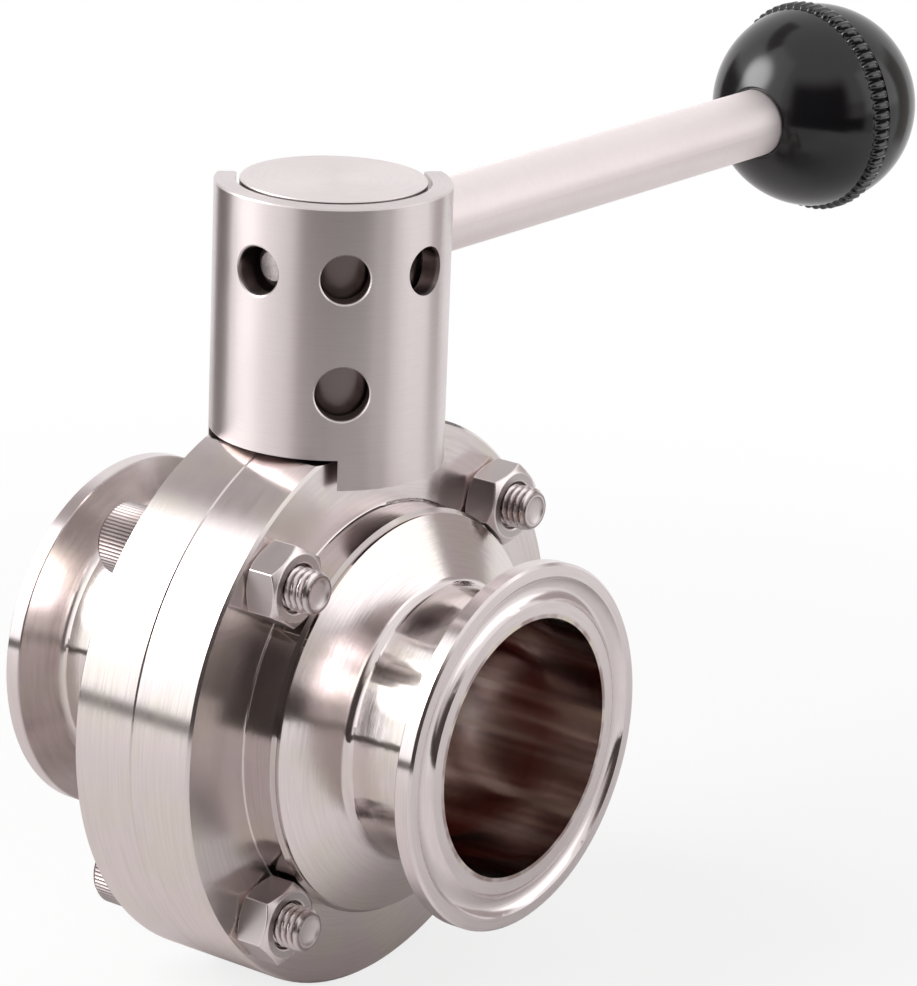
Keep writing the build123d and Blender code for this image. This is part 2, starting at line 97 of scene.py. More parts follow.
class StudioSettings(bpy.types.PropertyGroup):
    """Camera, floor, lamp and the tent of light round the valve."""

    eye: FloatVectorProperty(
        name="Camera place", description="Where the camera stands", default=(0.3965, -0.4621, 0.2194),
        size=3, subtype="TRANSLATION", unit="LENGTH")
    azimuth: FloatProperty(
        name="Azimuth", description="Side that the camera looks from, 0 from -Y and 90 degrees from +X",
        default=math.radians(36.27), subtype="ANGLE")
    elevation: FloatProperty(
        name="Elevation", description="Height of the camera above the horizon",
        default=math.radians(18.03), subtype="ANGLE")
    roll: FloatProperty(
        name="Roll", description="Turn of the picture", default=math.radians(2.25), subtype="ANGLE")
    lens: FloatProperty(name="Lens", description="Focal length", default=166.6, min=20, unit="CAMERA")
    floor_radius: FloatProperty(
        name="Floor radius", description="Size of the round table top", default=0.30, unit="LENGTH")
    floor_colour: FloatVectorProperty(
        name="Floor colour", description="Pale table top", default=(0.95, 0.95, 0.95), size=3,
        subtype="COLOR")
    floor_mirrored: FloatVectorProperty(
        name="Floor in the metal", description="Table top as the metal mirrors it",
        default=(0.76, 0.72, 0.72), size=3, subtype="COLOR")
    # Painted backlight and painted shade in the floor that the metal mirrors
    floor_backlit: FloatVectorProperty(
        name="Backlit floor in the metal", description="Table top behind the valve as the metal mirrors it",
        default=(0.92, 0.89, 0.89), size=3, subtype="COLOR")
    floor_shaded: FloatVectorProperty(
        name="Shaded floor in the metal", description="Table top past the rear port as the metal mirrors it",
        default=(0.10, 0.09, 0.09), size=3, subtype="COLOR")
    floor_lift: FloatProperty(
        name="Floor lift", description="Share of plain white that the camera sees in the floor",
        default=0.80, min=0, max=1, subtype="FACTOR")
    tent_radius: FloatProperty(
        name="Tent radius", description="Size of the tent whose walls the metal mirrors", default=1.2,
        unit="LENGTH")
    cloth_level: FloatProperty(
        name="Cloth level", description="Brightness of the tent's plain cloth", default=0.95, min=0)
    cloth_tint: FloatVectorProperty(
        name="Cloth tint", description="Tint of the tent where it is bright",
        default=(1.0, 0.985, 0.99), size=3, subtype="COLOR")
    room_tint: FloatVectorProperty(
        name="Room tint", description="Tint of the tent where the dark room shows",
        default=(1.0, 0.82, 0.78), size=3, subtype="COLOR")
    world_strength: FloatProperty(
        name="World strength", description="Light from all round", default=0.45, min=0)
    lamp_power: FloatProperty(
        name="Lamp power", description="Power of the large soft lamp", default=6.5, min=0, unit="POWER")
    lamp_size: FloatProperty(
        name="Lamp size", description="Diameter of the large soft lamp", default=0.7, unit="LENGTH")
    lamp_distance: FloatProperty(
        name="Lamp distance", description="Distance from the valve to the lamp", default=0.9, unit="LENGTH")
    lamp_direction: FloatVectorProperty(
        name="Lamp direction", description="Direction from the valve to the lamp",
        default=(-0.45, -0.65, 0.75), size=3, subtype="XYZ")


class SteelSettings(bpy.types.PropertyGroup):
    """Stainless steel as it was turned, brushed and polished."""

    colour: FloatVectorProperty(
        name="Steel colour", description="Polished stainless steel", default=(0.80, 0.735, 0.73), size=3,
        subtype="COLOR")
    warm_colour: FloatVectorProperty(
        name="Warm steel colour", description="Steel where polishing heat has warmed it",
        default=(0.80, 0.75, 0.675), size=3, subtype="COLOR")
    # Painted shade for the body's bore, step and taper, and the darker tone of its turning marks
    shade_colour: FloatVectorProperty(
        name="Shade colour", description="What the body's steel darkens to",
        default=(0.10, 0.06, 0.05), size=3, subtype="COLOR")
    # Painted shade in grooves, holes, knurls and the covered sides of the sleeve and the hub
    recess_shade_colour: FloatVectorProperty(
        name="Recess shade colour", description="Steel in grooves, holes and knurls", default=(0.12, 0.075, 0.065),
        size=3, subtype="COLOR")
    # Painted reflections, streaked along the bore
    bore_seat_reflection_colour: FloatVectorProperty(
        name="Dark streaks", description="Streaks that mirror the seat in the bore",
        default=(0.20, 0.085, 0.06), size=3, subtype="COLOR")
    bore_daylight_reflection_colour: FloatVectorProperty(
        name="Light streaks", description="Streaks that mirror the daylight in the bore",
        default=(0.78, 0.69, 0.54), size=3, subtype="COLOR")
    streak_runs: FloatProperty(
        name="Streak runs", description="How often the streaks change round the bore", default=4.6, min=0.1)
    streak_length: FloatProperty(
        name="Streak length", description="Length of the streaks along the bore", default=83.3 * MM,
        min=1 * MM, unit="LENGTH")
    mark_spacing: FloatProperty(
        name="Mark spacing", description="Distance between turning marks", default=0.45 * MM,
        min=0.02 * MM, unit="LENGTH")
    mark_height: FloatProperty(
        name="Mark height", description="Height of the turning marks", default=0.004 * MM, min=0,
        unit="LENGTH")
    mark_runs: FloatProperty(
        name="Mark runs", description="How often the marks change round a turn", default=3.0, min=0.1)


class FastenerSettings(bpy.types.PropertyGroup):
    """The four clamp screws and their nuts."""

    thread_pitch: FloatProperty(
        name="Thread pitch", description="Axial distance from crest to crest", default=1.0 * MM,
        unit="LENGTH")
    thread_depth: FloatProperty(
        name="Thread depth", description="Height of the thread's flanks", default=0.62 * MM, unit="LENGTH")
    thread_radius: FloatProperty(
        name="Thread radius", description="Outer radius of the thread", default=3.0 * MM, unit="LENGTH")
    tip_rim: FloatProperty(
        name="Tip rim", description="Width of the rim round the dished end", default=0.45 * MM,
        unit="LENGTH")
    tip_dish: FloatProperty(
        name="Tip dish", description="Depth of the dished end", default=0.5 * MM, unit="LENGTH")
    tip_chamfer: FloatProperty(
        name="Tip chamfer", description="Chamfer on the screw's end", default=0.55 * MM, unit="LENGTH")
    head_radius: FloatProperty(
        name="Head radius", description="Outer radius of the knurled head", default=5.0 * MM, unit="LENGTH")
    head_edge: FloatProperty(
        name="Head edge", description="Chamfer on the head's edges", default=0.45 * MM, unit="LENGTH")
    socket_width: FloatProperty(
        name="Socket width", description="Width across flats of the hexagon socket", default=5.0 * MM,
        unit="LENGTH")
    socket_depth: FloatProperty(
        name="Socket depth", description="Depth of the hexagon socket", default=3.0 * MM, unit="LENGTH")
    socket_edge: FloatProperty(
        name="Socket edge", description="Depth of the chamfer on the socket's mouth", default=0.25 * MM,
        unit="LENGTH")
    knurl_count: IntProperty(name="Knurl count", description="Teeth round the head", default=57, min=12)
    knurl_depth: FloatProperty(
        name="Knurl depth", description="Depth of the head's straight knurl", default=0.26 * MM,
        unit="LENGTH")
    nut_width: FloatProperty(
        name="Nut width", description="Width across flats of the nut", default=10.0 * MM, unit="LENGTH")
    nut_face_inset: FloatProperty(
        name="Nut face inset", description="How far the nut's round faces stay inside its flats",
        default=0.35 * MM, unit="LENGTH")
    nut_corner_slope: FloatProperty(
        name="Nut corner slope", description="Angle at which the nut's corners are turned off",
        default=math.radians(30), subtype="ANGLE")
    nut_hole_gap: FloatProperty(
        name="Nut hole gap", description="Gap between the nut's hole and the thread", default=0.02 * MM,
        unit="LENGTH")
    nut_sink: FloatProperty(
        name="Nut countersink", description="Depth of the countersinks of the nut's hole", default=0.45 * MM,
        unit="LENGTH")
    nut_turns: FloatVectorProperty(
        name="Nut turns", description="How far each nut was turned on past its place in the frame",
        default=(0, 0, math.radians(-15), 0), size=4, subtype="EULER")
    nut_edge_round: FloatProperty(
        name="Nut edge rounding", description="Rounding of the nut's edges", default=0.14 * MM,
        unit="LENGTH")
    nut_edge_angle: FloatProperty(
        name="Nut edge angle", description="Edges sharper than this are drawn and rounded",
        default=math.radians(20), subtype="ANGLE")


class KnobSettings(bpy.types.PropertyGroup):
    """The black ball knob."""

    colour: FloatVectorProperty(
        name="Knob colour", description="Black moulding", default=(0.005, 0.005, 0.0062), size=3,
        subtype="COLOR")
    roughness: FloatProperty(
        name="Knob roughness", description="Gloss of the moulding", default=0.14, min=0, max=1,
        subtype="FACTOR")
    radius: FloatProperty(
        name="Ball radius", description="Radius of the ball", default=15.4 * MM, unit="LENGTH")
    lean_to_port: FloatProperty(
        name="Lean to the port", description="Lean of the ball's axis towards the front port",
        default=math.radians(11.7), subtype="ANGLE")
    lean_up: FloatProperty(
        name="Lean up", description="Upward lean of the ball's axis", default=math.radians(3.8),
        subtype="ANGLE")
    band_middle: FloatProperty(
        name="Band middle", description="Place of the toothed band's middle along the ball's axis",
        default=-1.1 * MM, unit="LENGTH")
    band_width: FloatProperty(
        name="Band width", description="Width of the toothed band", default=2.7 * MM, unit="LENGTH")
    band_stand: FloatProperty(
        name="Band stand", description="How far the teeth stand out of the ball", default=0.6 * MM,
        unit="LENGTH")
    tooth_count: IntProperty(name="Tooth count", description="Teeth round the band", default=62, min=8)
    tooth_share: FloatProperty(
        name="Tooth share", description="Share of the pitch that a tooth fills", default=0.86, min=0.2,
        max=1, subtype="FACTOR")
    notch_depth: FloatProperty(
        name="Notch depth", description="How far the notches go into the ball", default=0.2 * MM,
        unit="LENGTH")
    notch_start: FloatProperty(
        name="Notch start", description="Length over which the notches reach their depth", default=0.2 * MM,
        unit="LENGTH")
    tooth_end: FloatProperty(
        name="Tooth end", description="Rounding of the teeth's ends on the rod's side", default=1.0 * MM,
        unit="LENGTH")
    tooth_fall: FloatProperty(
        name="Tooth fall", description="Length over which the teeth fall off beside the cap",
        default=0.3 * MM, unit="LENGTH")
    mouth_clearance: FloatProperty(
        name="Mouth clearance", description="Gap round the rod where it enters the ball", default=0.05 * MM,
        unit="LENGTH")
    mouth_edge: FloatProperty(
        name="Mouth edge", description="Rounding of the mouth's edge", default=0.15 * MM, unit="LENGTH")
    hollow_radius: FloatProperty(
        name="Hollow radius", description="Radius of the base's hollow for the cap", default=11.55 * MM,
        unit="LENGTH")
    hollow_depth: FloatProperty(
        name="Hollow depth", description="Depth of the hollow for the cap", default=3.05 * MM, unit="LENGTH")


class SealSettings(bpy.types.PropertyGroup):
    """Seat, seals and bushes."""

    seat_colour: FloatVectorProperty(
        name="Seat colour", description="Red-brown elastomer", default=(0.30, 0.035, 0.020), size=3,
        subtype="COLOR")
    seal_colour: FloatVectorProperty(
        name="Seal colour", description="Black elastomer of the stem seals",
        default=(0.03, 0.03, 0.03), size=3, subtype="COLOR")
    bush_colour: FloatVectorProperty(
        name="Bush colour", description="Plain bearing plastic", default=(0.80, 0.77, 0.70), size=3,
        subtype="COLOR")


class Wire:
    """A value that a node gives. Arithmetic on wires adds Math nodes to their sketch."""

    def __init__(self, sketch, socket):
        self.sketch = sketch
        self.socket = socket

    def maths(self, operation, *values):
        """A Math node on this wire and further values."""
        sockets = dict(enumerate((self,) + values))
        return self.sketch.node("ShaderNodeMath", {"operation": operation}, sockets)

    def __add__(self, other):
        return self.maths("ADD", other)

    def __sub__(self, other):
        return self.maths("SUBTRACT", other)

    def __mul__(self, other):
        return self.maths("MULTIPLY", other)

    def __truediv__(self, other):
        return self.maths("DIVIDE", other)

    def __pow__(self, other):
        return self.maths("POWER", other)

    def __neg__(self):
        return self.maths("MULTIPLY", -1.0)

    def __rsub__(self, other):
        return -self + other

    def __rtruediv__(self, other):
        return self ** -1.0 * other

    __radd__ = __add__
    __rmul__ = __mul__

    def step(self, low, high):
        """0 below low, 1 above high and smooth between them."""
        return self.sketch.node(
            "ShaderNodeMapRange", {"interpolation_type": "SMOOTHSTEP"},
            {"Value": self, "From Min": low, "From Max": high})

    def between(self, low, high, soft):
        """1 from low to high, falling to 0 over a soft edge outside them."""
        return self.step(low - soft, low) * (1 - self.step(high, high + soft))


class Sketch:
    """The node tree of a material or of the world, drawn from expressions."""

    def __init__(self, owner):
        owner.use_nodes = True
        self.tree = owner.node_tree
        self.tree.nodes.clear()

    def node(self, kind, settings=None, sockets=None, out=0):
        """Adds a node, sets it and fills its sockets. Gives one output, or those that a tuple names."""
        added = self.tree.nodes.new(kind)
        for name, value in (settings or {}).items():
            setattr(added, name, value)
        for name, value in (sockets or {}).items():
            if isinstance(value, Wire):
                self.tree.links.new(value.socket, added.inputs[name])
            else:
                added.inputs[name].default_value = value
        if isinstance(out, tuple):
            return tuple(Wire(self, added.outputs[name]) for name in out)
        return Wire(self, added.outputs[out])

    def place(self, centre=(0, 0, 0)):
        """Place on the piece in its own frame, from a centre, as three wires in millimetres."""
        point = self.node("ShaderNodeTexCoord", out="Object")
        moved = self.node("ShaderNodeVectorMath", {"operation": "SUBTRACT"}, {0: point, 1: tuple(centre)})
        in_mm = self.scaled(moved, 1 / MM)
        return self.node("ShaderNodeSeparateXYZ", sockets={0: in_mm}, out=("X", "Y", "Z"))

    def vector(self, x, y, z):
        return self.node("ShaderNodeCombineXYZ", sockets={0: x, 1: y, 2: z})

    def mix(self, factor, low, high):
        """Colour between two colours."""
        return self.node(
            "ShaderNodeMix", {"data_type": "RGBA"}, {0: factor, 6: paint(low), 7: paint(high)}, out=2)

    def scaled(self, vector, factor):
        """A vector or a colour times a number."""
        return self.node("ShaderNodeVectorMath", {"operation": "SCALE"}, {0: vector, "Scale": factor})

    def noise(self, place, scale=1.0, detail=2.0, roughness=0.5):
        """Noise from 0 to 1 over a vector."""
        return self.node(
            "ShaderNodeTexNoise", {"noise_dimensions": "3D"},
            {"Vector": place, "Scale": scale, "Detail": detail, "Roughness": roughness})

    def bump(self, height):
        """Normal over a height in millimetres."""
        return self.node("ShaderNodeBump", sockets={"Height": height, "Distance": MM, "Strength": 1.0})

    def surface(self, **sockets):
        """Ends the sketch in one Principled BSDF. Underscores in names stand for spaces."""
        filled = {name.replace("_", " "): value for name, value in sockets.items()}
        shader = self.node("ShaderNodeBsdfPrincipled", sockets=filled)
        self.finish(shader)

    def mixed_surface(self, factor, low, high, kind="ShaderNodeOutputMaterial"):
        """Ends the sketch in a mix of two shaders."""
        self.finish(self.node("ShaderNodeMixShader", sockets={0: factor, 1: low, 2: high}), kind)

    def finish(self, shader, kind="ShaderNodeOutputMaterial"):
        """Ends the sketch in a shader."""
        self.node(kind, sockets={"Surface": shader}, out=())


def paint(colour):
    """A colour as a wire or as four numbers."""
    return colour if isinstance(colour, Wire) else (*colour[:3], 1.0)


def material(name):
    """A new material and its sketch."""
    made = bpy.data.materials.new(name)
    return made, Sketch(made)


def give(piece, *materials):
    """Puts the materials in the piece's slots and keeps each face's slot, which clearing them would lose."""
    faces = piece.data.polygons
    kept = [face.material_index for face in faces]
    piece.data.materials.clear()
    for each in materials:
        piece.data.materials.append(each)
    for face, index in zip(faces, kept):
        face.material_index = min(index, len(materials) - 1)


def add_object(name, data, place):
    """Adds an object to the scene."""
    added = bpy.data.objects.new(name, data)
    bpy.context.scene.collection.objects.link(added)
    added.matrix_world = place
    return added


def add_piece(name, mesh, place, body, slot):
    """Adds a modelled piece that rides on a body."""
    piece = add_object(name, mesh, place)
    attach(piece, body)
    return piece


def compass(turn, lift):
    """Direction by its angle round Z, 0 along -Y and a quarter turn along +X, and its angle upward."""
    return Vector((math.sin(turn) * math.cos(lift), -math.cos(turn) * math.cos(lift), math.sin(lift)))


def frame_along(axis, centre):
    """Frame at a centre whose Z looks along an axis."""
    turn = Z_AXIS.rotation_difference(axis).to_matrix().to_4x4()
    return Matrix.Translation(centre) @ turn


def body_and_slot(node):
    """The body that carries a node and its material slot."""
    record = frame["record"]
    body = next(b for b, nodes in record["behaviour"]["bodies"].items() if node in nodes)
    slot = next(s["material_slot"] for s in record["subparts"] if s["node"] == node)
    return body, slot


def turned_copy(node, axis, centre):
    """A node's shape in a frame whose Z is the axis it was turned about, for brushing that runs round it."""
    place = frame_along(axis, centre)
    mesh = frame["nodes"][node].data.copy()
    mesh.transform(place.inverted())
    reach = max(v.co.length for v in mesh.vertices)
    mesh.use_auto_texspace = False
    mesh.texspace_location = (0, 0, 0)
    mesh.texspace_size = (reach, reach, reach)
    piece = add_piece(node + "_turned", mesh, place, *body_and_slot(node))
    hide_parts(node)
    return piece


def unevenness(sketch, x, y, z, size):
    """Slow variation from 0 to 1 over the surface, as hand polishing leaves."""
    return sketch.noise(sketch.vector(x, y, z), 1 / size)


# Turning marks follow the distance from the axis less this share of the distance along it,
# so that they run round faces, cones and cylinders alike
MARK_SLOPE = 1.37

# Turned steel spreads its gloss across the marks: a quarter turn from the direction round the axis
ACROSS_MARKS = 0.25


def turning_marks(sketch, x, y, z, steel, spacing=1.0):
    """Fine marks round the Z axis, from 0 to 1, and the distance from the axis."""
    radius = (x * x + y * y) ** 0.5
    along = (radius - z * MARK_SLOPE) * (MM / (steel.mark_spacing * spacing))
    round_x, round_y = x / radius * steel.mark_runs, y / radius * steel.mark_runs
    marks = sketch.noise(sketch.vector(round_x, round_y, along), detail=3, roughness=0.65)
    return marks, radius


# Regions of a body half's finish: distances from the parting face and radii, in millimetres
STEP_START = 9.8
STEP_END = 15.0
CONE_END = 20.2
NECK_END = 29.5
TAPER_END = 32.5
BORE_RADIUS = 18.2
RIM_RADIUS = FLANGE_RADIUS / MM - 0.6


def body_steel(steel):
    """Turned stainless steel, polished finer towards the ferrule."""
    made, sketch = material("body_steel")
    x, y, z = sketch.place()
    marks, radius = turning_marks(sketch, x, y, z, steel)
    outside = radius.step(BORE_RADIUS, BORE_RADIUS + 0.3)
    bore = 1 - outside
    rim = radius.step(RIM_RADIUS, RIM_RADIUS + 0.3)
    step = z.step(STEP_START, STEP_START + 0.2) * (1 - z.step(STEP_END, STEP_END + 0.4)) * outside
    cone = z.between(STEP_END, CONE_END, 0.4) * outside
    neck = z.between(CONE_END, NECK_END, 0.5) * outside
    ferrule = z.step(NECK_END, NECK_END + 1.0) * outside
    taper = ferrule * (1 - z.step(TAPER_END, TAPER_END + 0.3))
    patches = unevenness(sketch, x, y, z, 7.0)
    dents = unevenness(sketch, x, y, z, 3.0)
    roughness = 0.22 - rim * 0.02 - step * 0.12 - cone * 0.07 - neck * 0.09 - ferrule * 0.07 - bore * 0.09
    roughness = roughness + (patches - 0.5) * 0.08 + (marks - 0.5) * 0.14 * (1 - ferrule) + taper * 0.10
    strength = 1.0 - ferrule * 0.7 + taper * 0.9 + neck * 0.3 + cone * 0.4 - bore * 0.85
    # Painted shade in the bore, on the step and on the taper that faces the flange; the marks' share is
    # their own darker tone
    shade = bore * 0.08 + step * 0.25 + taper * 0.35 + marks.step(0.35, 0.7) * 0.08
    warmth = patches.step(0.42, 0.66) * 0.6 * (1 - ferrule + taper)
    tint = sketch.mix(warmth, steel.colour, steel.warm_colour)
    tint = sketch.mix(shade, tint, steel.shade_colour)
    # Painted reflection along the bore: dark streaks of the seat and light streaks of the daylight
    round_x, round_y = x / radius * steel.streak_runs, y / radius * steel.streak_runs
    streaks = sketch.noise(sketch.vector(round_x, round_y, z * (MM / steel.streak_length)))
    tint = sketch.mix(bore * (1 - streaks.step(0.40, 0.62)) * 0.62, tint, steel.bore_seat_reflection_colour)
    tint = sketch.mix(bore * streaks.step(0.50, 0.66) * 0.8, tint, steel.bore_daylight_reflection_colour)
    roughness = roughness + bore * streaks.step(0.45, 0.70) * 0.12
    height = marks * strength * (steel.mark_height / MM) + dents * (neck * 0.03 + cone * 0.01)
    sketch.surface(
        Base_Color=tint, Metallic=1.0, Roughness=roughness, Anisotropic=0.85,
        Anisotropic_Rotation=ACROSS_MARKS, Normal=sketch.bump(height))
    return made


def turned_steel(name, steel, roughness, spacing=1.0, height=1.0, shade=1.0, anisotropy=0.8,
                 centre=(0, 0, 0), dark=None):
    """Steel turned or brushed round its Z axis. spacing, height and shade are shares of the plain steel's,
    and dark gives the share of painted shade from the place in millimetres and the radius."""
    made, sketch = material(name)
    x, y, z = sketch.place(centre)
    marks, radius = turning_marks(sketch, x, y, z, steel, spacing)
    patches = unevenness(sketch, x, y, z, 9.0)
    colour = [c * shade for c in steel.colour]
    tint = sketch.mix(patches, colour, [c * 0.95 for c in colour])
    marked = min(1.0, height)
    tint = sketch.mix(marks.step(0.3, 0.75) * (0.10 * marked), tint, [c * 0.55 for c in colour])
    # Painted shade in grooves, holes and covered sides, where dark gives its share
    if dark:
        tint = sketch.mix(dark(x, y, z, radius), tint, steel.recess_shade_colour)
    sketch.surface(
        Base_Color=tint, Metallic=1.0,
        Roughness=roughness + (patches - 0.5) * 0.08 + (marks - 0.5) * (0.16 * marked),
        Anisotropic=anisotropy, Anisotropic_Rotation=ACROSS_MARKS,
        Normal=sketch.bump(marks * (height * steel.mark_height / MM)))
    return made


def plain_moulding(name, colour, roughness, grain, height, gloss=1.5):
    """Moulded rubber or plastic with a faint grain, whose size and height are in millimetres. gloss is the
    index of refraction."""
    made, sketch = material(name)
    x, y, z = sketch.place()
    texture = unevenness(sketch, x, y, z, grain)
    tint = sketch.mix(texture, colour, [c * 0.88 for c in colour])
    sketch.surface(Base_Color=tint, Roughness=roughness + (texture - 0.5) * 0.08, IOR=gloss,
                   Normal=sketch.bump(texture * height))
    return made


def ring(radius, level, count):
    """Points of a ring round Z. radius is a number or a function of the angle."""
    points = []
    for i in range(count):
        angle = 2 * math.pi * i / count
        reach = radius(angle) if callable(radius) else radius
        points.append(Vector((reach * math.cos(angle), reach * math.sin(angle), level)))
    return points


class RingMesh:
    """A closed skin drawn as rings of points, one after another."""

    def __init__(self):
        self.bm = bmesh.new()
        self.last = None
        self.slot = 0

    def cap(self, place):
        """A point in the middle, which opens or closes the skin. A number is a level on the Z axis."""
        point = self.bm.verts.new(place if isinstance(place, Vector) else (0, 0, place))
        if self.last:
            for a, b in self.pairs(self.last):
                self.face(a, b, point)
            self.last = None
        else:
            self.last = [point]

    def face(self, *verts):
        """A face in the slot that is drawn now."""
        self.bm.faces.new(verts).material_index = self.slot

    def pairs(self, verts):
        """Each point of a ring with the next one round it."""
        return zip(verts, verts[1:] + verts[:1])

    def ring(self, points):
        """Joins a ring to the one before it. The one may have a whole number of times the other's points."""
        new = [self.bm.verts.new(p) for p in points]
        old = self.last
        if old and len(old) == 1:
            for a, b in self.pairs(new):
                self.face(old[0], b, a)
        elif old:
            self.bridge(old, new)
        self.last = new
        return new

    def bridge(self, old, new):
        """Faces between two rings."""
        if len(old) < len(new):
            old, new = new, old
        if len(old) == len(new):
            for (a, b), (c, d) in zip(self.pairs(old), self.pairs(new)):
                self.face(a, b, d, c)
            return
        share = len(old) // len(new)
        for j, (c, d) in enumerate(self.pairs(new)):
            for i in range(share):
                a, b = old[j * share + i], old[(j * share + i + 1) % len(old)]
                self.face(a, b, c)
            self.face(old[(j + 1) * share % len(old)], d, c)

    def mesh(self, name, sharp):
        """The finished mesh, smooth but for edges sharper than an angle."""
        bmesh.ops.recalc_face_normals(self.bm, faces=self.bm.faces)
        for face in self.bm.faces:
            face.smooth = True
        for edge in self.bm.edges:
            if edge.is_manifold and edge.calc_face_angle() > sharp:
                edge.smooth = False
        made = bpy.data.meshes.new(name)
        self.bm.to_mesh(made)
        self.bm.free()
        return made


def hexagon(width):
    """Radius of a hexagon as a function of the angle, with a corner at 0."""
    def reach(angle):
        off_flat = angle % (math.pi / 3) - math.pi / 6
        return width / 2 / math.cos(off_flat)
    return reach


class Fastener:
    """One of the four like solids of a node, which lies along X. Its centre and the farthest corner from
    there are seen along X."""

    def __init__(self, points):
        self.low_x = min(p.x for p in points)
        self.high_x = max(p.x for p in points)
        low, high = (Vector(pick(p[i] for p in points) for i in (1, 2)) for pick in (min, max))
        self.centre = (low + high) / 2
        self.corner = max((p.yz - self.centre for p in points), key=lambda across: across.length)

    def place(self, x):
        """Frame on the fastener's axis whose Z looks along X."""
        return frame_along(X_AXIS, Vector((x, *self.centre)))


def four_fasteners(node):
    """The four solids of a node, one in each quarter round the flow axis."""
    points = [v.co for v in frame["nodes"][node].data.vertices]
    quarters = [(side_y, side_z) for side_y in (1, -1) for side_z in (1, -1)]
    return [Fastener([p for p in points if p.y * y > 0 and p.z * z > 0]) for y, z in quarters]


THREAD_ROWS_PER_TURN = 12
KNURL_POINTS_PER_TOOTH = 6

# Points round a nut, a multiple of six so that its corners fall on points
NUT_POINTS = 96

# The thread's flanks rise more steeply than in a plain zigzag, which leaves flats on crests and in grooves
FLANK_STEEPNESS = 1.3
GROOVE_FLAT = 0.1

# Rings of the dished end, as shares of its radius
DISH_RINGS = (0.92, 0.75, 0.5, 0.25)


def screw_mesh(fasteners, under_head, tip, head_top, thread_start):
    """Cylinder-head screw along Z with a knurled head, a hexagon socket and a helical thread.

    Slot 1 is the dished end and slot 2 the head's knurled side."""
    skin = RingMesh()
    few = fasteners.knurl_count
    many = few * KNURL_POINTS_PER_TOOTH
    socket = hexagon(fasteners.socket_width)
    mouth = fasteners.socket_width / math.sqrt(3)
    valley = fasteners.head_radius - fasteners.knurl_depth
    face = fasteners.head_radius - fasteners.head_edge

    def knurled(angle):
        wave = 0.5 - 0.5 * math.cos(angle * fasteners.knurl_count)
        return fasteners.head_radius - fasteners.knurl_depth * wave

    skin.cap(head_top + fasteners.socket_depth)
    skin.ring(ring(socket, head_top + fasteners.socket_depth, many))
    skin.ring(ring(socket, head_top + fasteners.socket_edge, many))
    skin.ring(ring(mouth, head_top, many))
    skin.ring(ring(face, head_top, many))
    skin.slot = 2
    skin.ring(ring(valley, head_top + fasteners.head_edge * 0.7, many))
    skin.ring(ring(knurled, head_top + fasteners.head_edge * 1.3, many))
    skin.ring(ring(knurled, under_head - fasteners.head_edge, many))
    skin.ring(ring(valley, under_head - fasteners.head_edge * 0.4, many))
    skin.slot = 0
    skin.ring(ring(face, under_head, many))
    skin.ring(ring(fasteners.thread_radius, under_head, few))
    skin.ring(ring(fasteners.thread_radius, thread_start, few))
    rows = round((tip - thread_start) / (fasteners.thread_pitch / THREAD_ROWS_PER_TURN))
    for row in range(1, rows + 1):
        level = thread_start + (tip - thread_start) * row / rows
        run_in = min(1.0, (level - thread_start) / fasteners.thread_pitch)

        def threaded(angle):
            """Radius of the thread at this level."""
            phase = (level / fasteners.thread_pitch - angle / (2 * math.pi)) % 1.0
            flank = min(1.0, max(0.0, abs(2 * phase - 1) * FLANK_STEEPNESS - GROOVE_FLAT))
            radius = fasteners.thread_radius - fasteners.thread_depth * (1 - flank) * run_in
            return min(radius, fasteners.thread_radius - fasteners.tip_chamfer + (tip - level))

        skin.ring(ring(threaded, level, few))
    dish = fasteners.thread_radius - fasteners.tip_chamfer - fasteners.tip_rim
    skin.ring(ring(dish, tip, few))
    skin.slot = 1
    for share in DISH_RINGS:
        skin.ring(ring(dish * share, tip - fasteners.tip_dish * math.sqrt(1 - share ** 2), few))
    skin.cap(tip - fasteners.tip_dish)
    return skin.mesh("clamp_screw", sharp=math.radians(30))


def nut_mesh(fasteners, height):
    """Hexagon nut along Z with turned corners and a hole with countersinks. Slot 1 is what was turned."""
    outline = hexagon(fasteners.nut_width)
    face_radius = fasteners.nut_width / 2 - fasteners.nut_face_inset
    hole = fasteners.thread_radius + fasteners.nut_hole_gap
    sink = fasteners.nut_sink
    skin = RingMesh()

    def drop(angle):
        """How far the turned corners lie below the nut's face."""
        return (outline(angle) - face_radius) * math.tan(fasteners.nut_corner_slope)

    def side(top):
        """Points where the flats meet the turned corners."""
        points = ring(outline, 0, NUT_POINTS)
        for i, p in enumerate(points):
            angle = 2 * math.pi * i / NUT_POINTS
            p.z = height - drop(angle) if top else drop(angle)
        return points

    first = skin.ring(ring(hole, sink, NUT_POINTS))
    skin.ring(ring(hole + sink, 0, NUT_POINTS))
    skin.ring(ring(face_radius, 0, NUT_POINTS))
    skin.slot = 1
    skin.ring(side(False))
    skin.slot = 0
    skin.ring(side(True))
    skin.slot = 1
    skin.ring(ring(face_radius, height, NUT_POINTS))
    skin.slot = 0
    skin.ring(ring(hole + sink, height, NUT_POINTS))
    last = skin.ring(ring(hole, height - sink, NUT_POINTS))
    skin.bridge(last, first)
    return skin.mesh("clamp_nut", sharp=fasteners.nut_edge_angle)


class ValveOperator(bpy.types.Operator):
    """Common ground of the valve's operators."""

    bl_options = {"REGISTER", "UNDO"}


